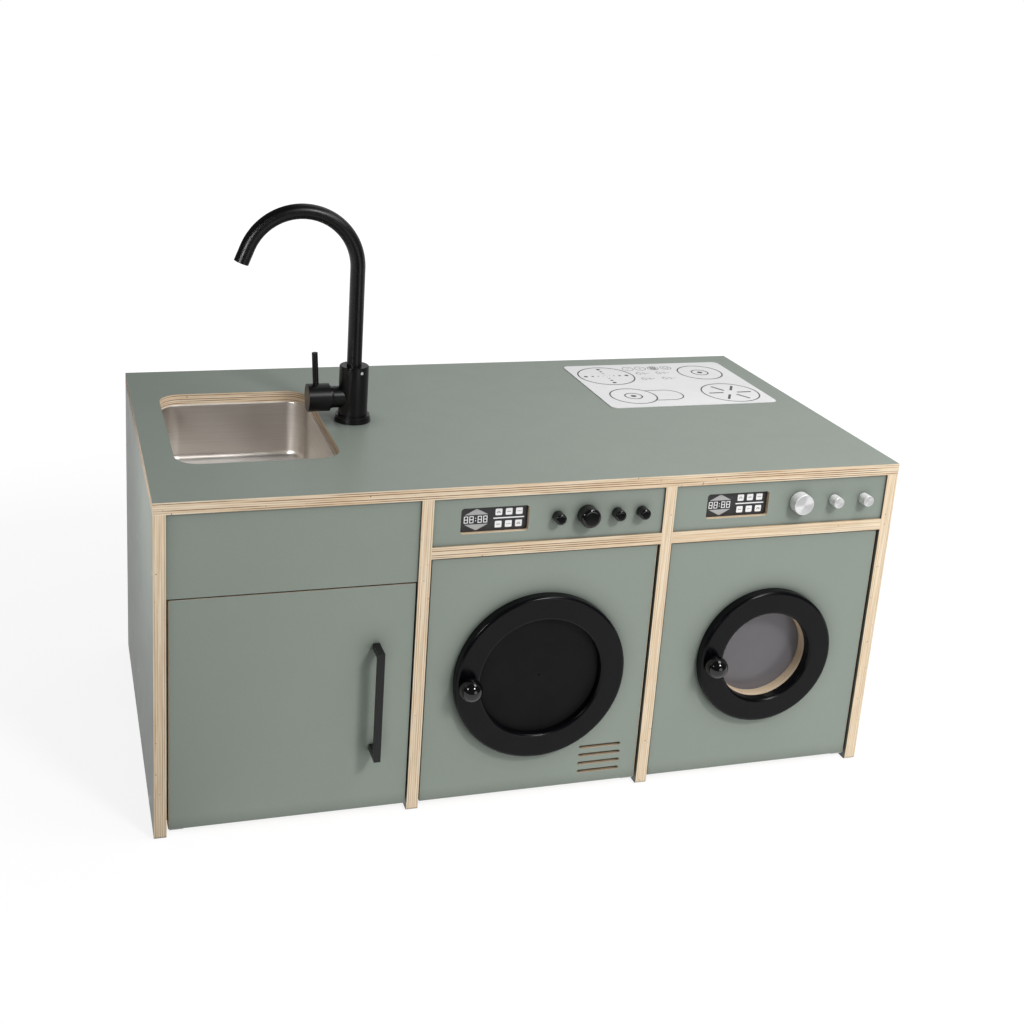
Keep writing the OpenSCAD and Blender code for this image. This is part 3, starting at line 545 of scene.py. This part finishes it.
def brushed_steel():
    """Satin steel with fine level streaks; its floor is painted paler and duller than the walls, a painted
    highlight for the light that falls on it from above.
    """
    g = graph("brushed_steel")
    coordinates = g.coordinates()
    place = coordinates["Object"]
    # Painted highlight: faces that look up get a paler colour and less metal, for the light from above
    up = g.ramp(g.split(coordinates["Normal"])[2], 0.6, 0.98)
    streak = g.noise(g.scaled(place, (9.0, 9.0, 1500.0)), scale=1.0, detail=2.0)
    colour = g.mix(g.ramp(streak, 0.3, 0.7), srgb(190, 184, 177), srgb(198, 192, 185))
    colour = g.mix(up, colour, srgb(232, 228, 224))
    sockets = {"Base Color": colour, "Metallic": g.math("SUBTRACT", 1.0, g.math("MULTIPLY", up, 0.7)),
               "Roughness": worn(g, place, 20.0, 0.34, 0.40)}
    return g.finish(g.shader(sockets))


def spun_aluminium():
    """Turned knobs: a bright face with round tool marks and a duller rim, whose paler colour is a painted
    sheen for the light on the knobs' sides.
    """
    g = graph("aluminium")
    coordinates = g.coordinates()
    fine = g.noise(coordinates["Object"], scale=1800.0, detail=2.0, roughness=0.6)
    facing = g.math("ABSOLUTE", g.split(coordinates["Normal"])[1])
    colour = g.mix(g.ramp(fine, 0.3, 0.7), grey(222), grey(236))
    # Painted sheen: the rim gets a paler colour than the face, for the light on its sides
    colour = g.mix(g.ramp(facing, 0.4, 0.9), grey(246), colour)
    tangent = g.add("Tangent", direction_type="RADIAL", axis="Y").outputs[0]
    sockets = {"Base Color": colour, "Metallic": g.ramp(facing, 0.4, 0.9, to_low=0.25, to_high=0.8),
               "Roughness": g.ramp(facing, 0.4, 0.9, to_low=0.55, to_high=0.30), "Anisotropic": 0.85,
               "Tangent": tangent, "Normal": g.bump(fine, strength=0.1, distance=0.00004)}
    return g.finish(g.shader(sockets))


def dress_fittings():
    paint(plain_steel(), "side_screws", "sink_screws", "tap_shank", "tap_nut", "knob_spindles",
          "upper_pivot_pins", "lower_pivot_plates", "handle_screws", "cupboard_strike", "dryer_strike",
          "washer_strike", "dryer_ring_screws", "washer_ring_screws", "tap_cartridge", "lever_stem")
    paint(bright_steel(), "spout_screw")
    paint(matt_black_metal(), "tap_base_ring", "tap_body", "spout", "handle_cap", "lever_rod",
          "cupboard_handle")
    paint(gloss_black(), "dryer_knob_1", "dryer_large_knob", "dryer_knob_2", "dryer_knob_3",
          "dryer_door_knob", "washer_door_knob")
    paint(lacquer(), "dryer_ring", "washer_ring")
    paint(disc_black(), "dryer_disc")
    paint(spun_aluminium(), "washer_large_knob", "washer_knob_1", "washer_knob_2")
    paint(display_plate(), "dryer_display", "washer_display")
    paint(white_sheet(), "hob_sheet")
    paint(white_plastic(), "door_magnets")
    paint(smoky_acrylic(), "washer_pane")


# Pieces
def add_piece(name, bm, material, body, smooth_angle=None):
    """Turns a bmesh into a piece that rides on a body."""
    bmesh.ops.recalc_face_normals(bm, faces=bm.faces)
    mesh = bpy.data.meshes.new(name)
    for face in bm.faces:
        face.smooth = smooth_angle is not None
    if smooth_angle is not None:
        for edge in bm.edges:
            inside = len(edge.link_faces) == 2
            edge.smooth = inside and edge.calc_face_angle(0.0) < math.radians(smooth_angle)
    bm.to_mesh(mesh)
    bm.free()
    mesh.materials.append(material)
    piece = bpy.data.objects.new(name, mesh)
    bpy.context.scene.collection.objects.link(piece)
    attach(piece, body)
    return piece


def around(cx, cy, r, degrees):
    """The point at an angle on a circle."""
    angle = math.radians(degrees)
    return cx + r * math.cos(angle), cy + r * math.sin(angle)


def arc(cx, cy, r, start, end, steps):
    """Points of an arc, with angles in degrees."""
    return [around(cx, cy, r, start + (end - start) * i / steps) for i in range(steps + 1)]


def disc_outline(cx, cy, r, steps):
    return arc(cx, cy, r, 0, 360, steps)[:-1]


def round_corners(x0, y0, x1, y1, r, steps):
    """Outline of a rectangle with round corners, anticlockwise."""
    return (arc(x1 - r, y1 - r, r, 0, 90, steps) + arc(x0 + r, y1 - r, r, 90, 180, steps)
            + arc(x0 + r, y0 + r, r, 180, 270, steps) + arc(x1 - r, y0 + r, r, 270, 360, steps))


def chamfered(x0, y0, x1, y1, cut):
    """Outline of a rectangle with its corners cut off."""
    return [(x0 + cut, y0), (x1 - cut, y0), (x1, y0 + cut), (x1, y1 - cut),
            (x1 - cut, y1), (x0 + cut, y1), (x0, y1 - cut), (x0, y0 + cut)]


def bridge(bm, lower, upper):
    """Quads between two closed loops of as many points."""
    for i in range(len(lower)):
        j = (i + 1) % len(lower)
        bm.faces.new((lower[i], lower[j], upper[j], upper[i]))


# How far a print stands out from its plate or sheet
INK_THICK = 0.12


def print_patch(bm, place, outline, hole=None, lift=0.0, thick=INK_THICK):
    """A raised flat print: place maps (x, y, height) in millimetres to the part frame."""
    top = [bm.verts.new(place(x, y, lift + thick)) for x, y in outline]
    low = [bm.verts.new(place(x, y, lift)) for x, y in outline]
    bridge(bm, low, top)
    if hole is None:
        bm.faces.new(top)
        bm.faces.new(list(reversed(low)))
        return
    inner_top = [bm.verts.new(place(x, y, lift + thick)) for x, y in hole]
    inner_low = [bm.verts.new(place(x, y, lift)) for x, y in hole]
    bridge(bm, top, inner_top)
    bridge(bm, inner_top, inner_low)
    bridge(bm, inner_low, low)


def ring_print(bm, place, cx, cy, r, width, steps):
    outline, hole = [disc_outline(cx, cy, r + side * width / 2, steps) for side in (1, -1)]
    print_patch(bm, place, outline, hole)


def stroke(bm, place, points, width):
    """A line of constant width through points."""
    left, right = [], []
    for i, (x, y) in enumerate(points):
        ax, ay = points[max(i - 1, 0)]
        bx, by = points[min(i + 1, len(points) - 1)]
        length = math.hypot(bx - ax, by - ay)
        nx, ny = -(by - ay) / length * width / 2, (bx - ax) / length * width / 2
        left.append((x + nx, y + ny))
        right.append((x - nx, y - ny))
    for i in range(len(points) - 1):
        print_patch(bm, place, [right[i], right[i + 1], left[i + 1], left[i]])


# Display prints, counted from the window's left edge and downwards from its top edge
# How far the plate would reach past the window, and the gap left round it
DISPLAY_LAP = 4.0
DISPLAY_FIT = 0.05
DIGIT_W, DIGIT_H, DIGIT_BAR = 6.3, 10.8, 1.15
DIGIT_CUT = 0.35
DIGIT_X = [6.6, 15.0, 27.6, 36.0]
DIGIT_TOP = 15.5
COLON_X, COLON_R, COLON_STEPS = 24.4, 0.75, 12
# The heights of the colon's dots, as shares of a digit's height
COLON_DOTS = [0.32, 0.68]
ARROW_X = (7.6, 43.4)
ARROW_TIP = 2.4
# Where each arrow's base and tip lie
ARROWS = [(13.6, 4.6), (28.4, 37.4)]
KEY_COLUMNS = [59.4, 75.1, 90.8]
KEY_ROWS = [11.0, 30.2]
KEY_SIZE, KEY_CORNER, KEY_STEPS = 10.4, 1.4, 4
LINE_BOX, LINE_CUT = (51.6, 19.6, 98.8, 21.5), 0.3
# Short dashes on the keys: left end, right end and height on the key
KEY_MARKS = [
    [(-3.2, -0.6, 0.9), (0.2, 3.0, 0.9), (-2.2, 2.0, -0.9)],
    [(-2.8, 2.8, 0.0)],
    [(-3.0, -1.4, 0.0), (-0.7, 0.9, 0.0), (1.6, 3.0, 0.0)],
]
MARK_H, MARK_CUT, MARK_THICK = 0.9, 0.15, 0.04


def digit_bars(x, top):
    """The bars of an 8 as rectangles: three level ones between two upright ones."""
    w, h, t = DIGIT_W, DIGIT_H, DIGIT_BAR
    middle = top + h / 2
    level = [(x + t, y, x + w - t, y + t) for y in (top, middle - t / 2, top + h - t)]
    return level + [(left, top, left + t, top + h) for left in (x, x + w - t)]


def digits_print(place):
    bm = bmesh.new()
    for x in DIGIT_X:
        for bar in digit_bars(x, DIGIT_TOP):
            print_patch(bm, place, chamfered(*bar, DIGIT_CUT))
    for share in COLON_DOTS:
        print_patch(bm, place, disc_outline(COLON_X, DIGIT_TOP + DIGIT_H * share, COLON_R, COLON_STEPS))
    return bm


def arrows_print(place):
    """Two blunt arrows, one above the digits and one below them."""
    bm = bmesh.new()
    left, right = ARROW_X
    tip_left, tip_right = [(left + right + side * ARROW_TIP) / 2 for side in (-1, 1)]
    for base, tip in ARROWS:
        print_patch(bm, place, [(left, base), (right, base), (tip_right, tip), (tip_left, tip)])
    return bm


def keys_print(place):
    """Six keys and the line between their rows."""
    bm = bmesh.new()
    half = KEY_SIZE / 2
    for cy in KEY_ROWS:
        for cx in KEY_COLUMNS:
            key = round_corners(cx - half, cy - half, cx + half, cy + half, KEY_CORNER, KEY_STEPS)
            print_patch(bm, place, key)
    print_patch(bm, place, chamfered(*LINE_BOX, LINE_CUT))
    return bm


def key_marks_print(place):
    bm = bmesh.new()
    half = MARK_H / 2
    for row, cy in enumerate(KEY_ROWS):
        for column, cx in enumerate(KEY_COLUMNS):
            for left, right, drop in KEY_MARKS[(row + column) % len(KEY_MARKS)]:
                dash = chamfered(cx + left, cy + drop - half, cx + right, cy + drop + half, MARK_CUT)
                print_patch(bm, place, dash, lift=INK_THICK, thick=MARK_THICK)
    return bm


def display_print(node, white, pale, dark):
    low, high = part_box(node)
    margin = DISPLAY_LAP - DISPLAY_FIT

    def place(x, y, out):
        return Vector((low.x + (x + margin) * MM, low.y - out * MM, high.z - (y + margin) * MM))

    add_piece(node + "_digits", digits_print(place), white, "cabinet")
    add_piece(node + "_arrows", arrows_print(place), pale, "cabinet")
    add_piece(node + "_keys", keys_print(place), white, "cabinet")
    add_piece(node + "_key_marks", key_marks_print(place), dark, "cabinet")


# Hob print, counted from the carcass's left side and front
HOB_LINE = 2.5
# Middle and radius of each ring
DOTTED_RING = (857, 491, 52.0)
BARRED_RING = (1048, 373, 51.5)
PLAIN_RING = (1047, 495, 41.5)
OVAL_RING = (860, 372, 41.5)
SMALL_INNER, SMALL_DOT = 15.4, 5.2
# Distance and radius of the dots on each arm of the cross
CROSS_DOTS = [(40.0, 3.8), (26.5, 2.7), (15.4, 1.6), (6.4, 0.9)]
BAR_FROM, BAR_TO, BAR_WIDTH = 13.5, 41.0, 4.4
OVAL_HALF, OVAL_END, OVAL_GAP, OVAL_LINE = 27.0, 93.0, 2.0, 2.125
RING_STEPS, INNER_STEPS, DOT_STEPS, CROSS_STEPS, OVAL_STEPS = 96, 72, 32, 24, 28
SIGN_LINE = 1.0
SIGN_Y, SIGN_X, SIGN_R = 530, [916, 941, 967, 993], 10.4
SIGN_DASH, SIGN_UPRIGHT, SIGN_INNER = 7.0, 10.0, 5.2
STRIPES, STRIPE_WIDTH, STRIPE_GAP = (-5.4, -2.7, 0, 2.7, 5.4), 1.5, 1.8
SIGN_STEPS, SIGN_INNER_STEPS = 40, 28
# The small frames: height of each row and the left sides of its frames
FRAMES = [(500, [921, 961]), (467, [918, 959])]
FRAME_W, FRAME_H, FRAME_LINE = 8.0, 11.0, 0.9
FRAME_CORNER, FRAME_INNER_CORNER, FRAME_STEPS = 1.2, 0.5, 3
# The strokes over and beside each frame, from the middle of its left side
FRAME_STROKES = [
    [(3.0, 7.5), (5.5, 7.5)],
    [(14.0, 6.0), (11.5, 0.0), (18.0, 0.0)],
    [(16.0, 4.0), (16.0, -6.0)],
    [(20.0, 0.0), (25.5, 0.0)],
]


def hob_print(material):
    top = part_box("hob_sheet")[1].z

    def place(x, y, out):
        point = at(x, y, 0)
        return Vector((point.x, point.y, top + out * MM))

    bm = bmesh.new()
    for ring in (DOTTED_RING, BARRED_RING, PLAIN_RING, OVAL_RING):
        ring_print(bm, place, *ring, HOB_LINE, RING_STEPS)
    for cx, cy, r in (PLAIN_RING, OVAL_RING):
        ring_print(bm, place, cx, cy, SMALL_INNER, HOB_LINE, INNER_STEPS)
        print_patch(bm, place, disc_outline(cx, cy, SMALL_DOT, DOT_STEPS))
    dot_cross(bm, place, *DOTTED_RING[:2])
    bar_star(bm, place, *BARRED_RING[:2])
    oval(bm, place, *OVAL_RING)
    round_signs(bm, place)
    frame_signs(bm, place)
    add_piece("hob_print", bm, material, "cabinet")


def dot_cross(bm, place, cx, cy):
    """Dots in the form of a cross, smaller towards the middle."""
    for away, dot in CROSS_DOTS:
        for angle in (0, 90, 180, 270):
            print_patch(bm, place, disc_outline(*around(cx, cy, away, angle), dot, CROSS_STEPS))


def bar_star(bm, place, cx, cy):
    """Six bars that point away from the middle."""
    for angle in range(0, 360, 60):
        ends = [around(cx, cy, away, angle) for away in (BAR_FROM, BAR_TO)]
        stroke(bm, place, ends, BAR_WIDTH)


def oval(bm, place, cx, cy, r):
    """The line that widens a ring to an oval on its right."""
    start = cx + math.sqrt(r ** 2 - OVAL_HALF ** 2) + OVAL_GAP
    bend = arc(cx + OVAL_END - OVAL_HALF, cy, OVAL_HALF, -90, 90, OVAL_STEPS)
    path = [(start, cy - OVAL_HALF)] + bend + [(start, cy + OVAL_HALF)]
    stroke(bm, place, path, OVAL_LINE)


def round_signs(bm, place):
    """Four small circles: with a dash, with an upright line, with stripes and with a circle inside."""
    for x in SIGN_X:
        ring_print(bm, place, x, SIGN_Y, SIGN_R, SIGN_LINE, SIGN_STEPS)
    dash_x, upright_x, stripes_x, circle_x = SIGN_X
    dash, upright = SIGN_DASH / 2, SIGN_UPRIGHT / 2
    stroke(bm, place, [(dash_x - dash, SIGN_Y), (dash_x + dash, SIGN_Y)], SIGN_LINE)
    stroke(bm, place, [(upright_x, SIGN_Y - upright), (upright_x, SIGN_Y + upright)], SIGN_LINE)
    for off in STRIPES:
        x = stripes_x + off
        reach = math.sqrt(SIGN_R ** 2 - off ** 2) - STRIPE_GAP
        stroke(bm, place, [(x, SIGN_Y - reach), (x, SIGN_Y + reach)], STRIPE_WIDTH)
    ring_print(bm, place, circle_x, SIGN_Y, SIGN_INNER, SIGN_LINE, SIGN_INNER_STEPS)


def frame_signs(bm, place):
    """Four small frames with plain strokes over and beside them."""
    line, half = FRAME_LINE, FRAME_H / 2
    for y, row in FRAMES:
        for x in row:
            outline = round_corners(x, y - half, x + FRAME_W, y + half, FRAME_CORNER, FRAME_STEPS)
            hole = round_corners(x + line, y - half + line, x + FRAME_W - line, y + half - line,
                                 FRAME_INNER_CORNER, FRAME_STEPS)
            print_patch(bm, place, outline, hole)
            for points in FRAME_STROKES:
                stroke(bm, place, [(x + dx, y + dy) for dx, dy in points], line)


# Basin
BASIN_T = 1.0
BASIN_RIM = 12.0
BASIN_CORNER = 36.0
BASIN_FILLET = 14.0
# The bowl stands this far inside the cut-out, and its lip is rounded by as much
BOWL_INSET = 2.0
CORNER_STEPS, LIP_STEPS, FILLET_STEPS = 12, 4, 8
BOWL_SMOOTH_ANGLE = 50


def quarter(steps):
    """Sine of each angle of a quarter turn, and one less its cosine."""
    angles = [math.radians(90 * i / steps) for i in range(steps + 1)]
    return [(math.sin(a), 1 - math.cos(a)) for a in angles]


def basin(material):
    """A pressed bowl with a rounded lip and a round edge at its floor, in the CAD basin's place."""
    low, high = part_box("sink_basin")
    rim = BASIN_RIM + BASIN_T + BOWL_INSET
    x0, y0 = low.x / MM + rim, low.y / MM + rim
    x1, y1 = high.x / MM - rim, high.y / MM - rim
    floor_z, top_z = low.z / MM + BASIN_T, high.z / MM
    bm = bmesh.new()

    def loop(grow, z):
        corner = BASIN_CORNER - BOWL_INSET + grow
        points = round_corners(x0 - grow, y0 - grow, x1 + grow, y1 + grow, corner, CORNER_STEPS)
        return [bm.verts.new((x * MM, y * MM, z * MM)) for x, y in points]

    # Both profiles are lists of how far out and how high, from the lip down to the floor
    inner = [(BOWL_INSET * (1 - sine), top_z - BOWL_INSET * rise) for sine, rise in quarter(LIP_STEPS)]
    outer = [(rim, top_z), (rim, top_z - BASIN_T), (BASIN_T, top_z - BASIN_T)]
    outer_fillet = BASIN_FILLET + BASIN_T
    for sine, pull in quarter(FILLET_STEPS):
        inner.append((-BASIN_FILLET * pull, floor_z + BASIN_FILLET * (1 - sine)))
        outer.append((BASIN_T - outer_fillet * pull, floor_z - BASIN_T + outer_fillet * (1 - sine)))
    inner_loops = [loop(*point) for point in inner]
    outer_loops = [loop(*point) for point in outer]
    for loops in (inner_loops, outer_loops):
        for upper, lower in zip(loops, loops[1:]):
            bridge(bm, upper, lower)
        bm.faces.new(loops[-1])
    bridge(bm, inner_loops[0], outer_loops[0])
    piece = add_piece("sink_bowl", bm, material, "cabinet", smooth_angle=BOWL_SMOOTH_ANGLE)
    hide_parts("sink_basin")


# Set screw
SET_SCREW_R, SOCKET_R = 2.5, 1.2
SET_SCREW_DROP, SET_SCREW_TURN = 8.0, 20.0
# How deep the screw's end reaches into the tap, how far it stands out, and how much lower its socket is
SET_SCREW_SUNK, SET_SCREW_OUT, SOCKET_DEPTH = 0.3, 0.3, 0.2
SET_SCREW_STEPS = 24


def set_screw_end(material):
    """The end of the screw that holds the spout, at the tap's side."""
    axis = sum(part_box("tap_base_ring"), Vector()) / 2
    low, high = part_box("tap_body")
    body_r = (high.y - low.y) / 2
    turn = math.radians(SET_SCREW_TURN)
    out_way = Vector((math.sin(turn), -math.cos(turn), 0))
    side_way = Vector((math.cos(turn), math.sin(turn), 0))
    middle = Vector((axis.x, axis.y, high.z - SET_SCREW_DROP * MM)) + out_way * body_r

    def place(x, y, out):
        return middle + (side_way * x + Vector((0, 0, y)) + out_way * out) * MM

    bm = bmesh.new()
    rim, socket = [disc_outline(0, 0, r, SET_SCREW_STEPS) for r in (SET_SCREW_R, SOCKET_R)]
    thick = SET_SCREW_SUNK + SET_SCREW_OUT
    print_patch(bm, place, rim, socket, lift=-SET_SCREW_SUNK, thick=thick)
    print_patch(bm, place, socket, lift=-SET_SCREW_SUNK, thick=thick - SOCKET_DEPTH)
    add_piece("set_screw_end", bm, material, "cabinet")


make_camera()
make_world()
make_lamps()
make_floor()
dress_boards()
dress_fittings()
white_ink = ink("white_ink", 236)
pale_ink = ink("pale_ink", 168)
dark_ink = ink("dark_ink", 70)
for display in ("dryer_display", "washer_display"):
    display_print(display, white_ink, pale_ink, dark_ink)
hob_print(ink("grey_ink", 58))
basin(brushed_steel())
set_screw_end(bright_steel())

bpy.context.scene.view_settings.view_transform = "Standard"
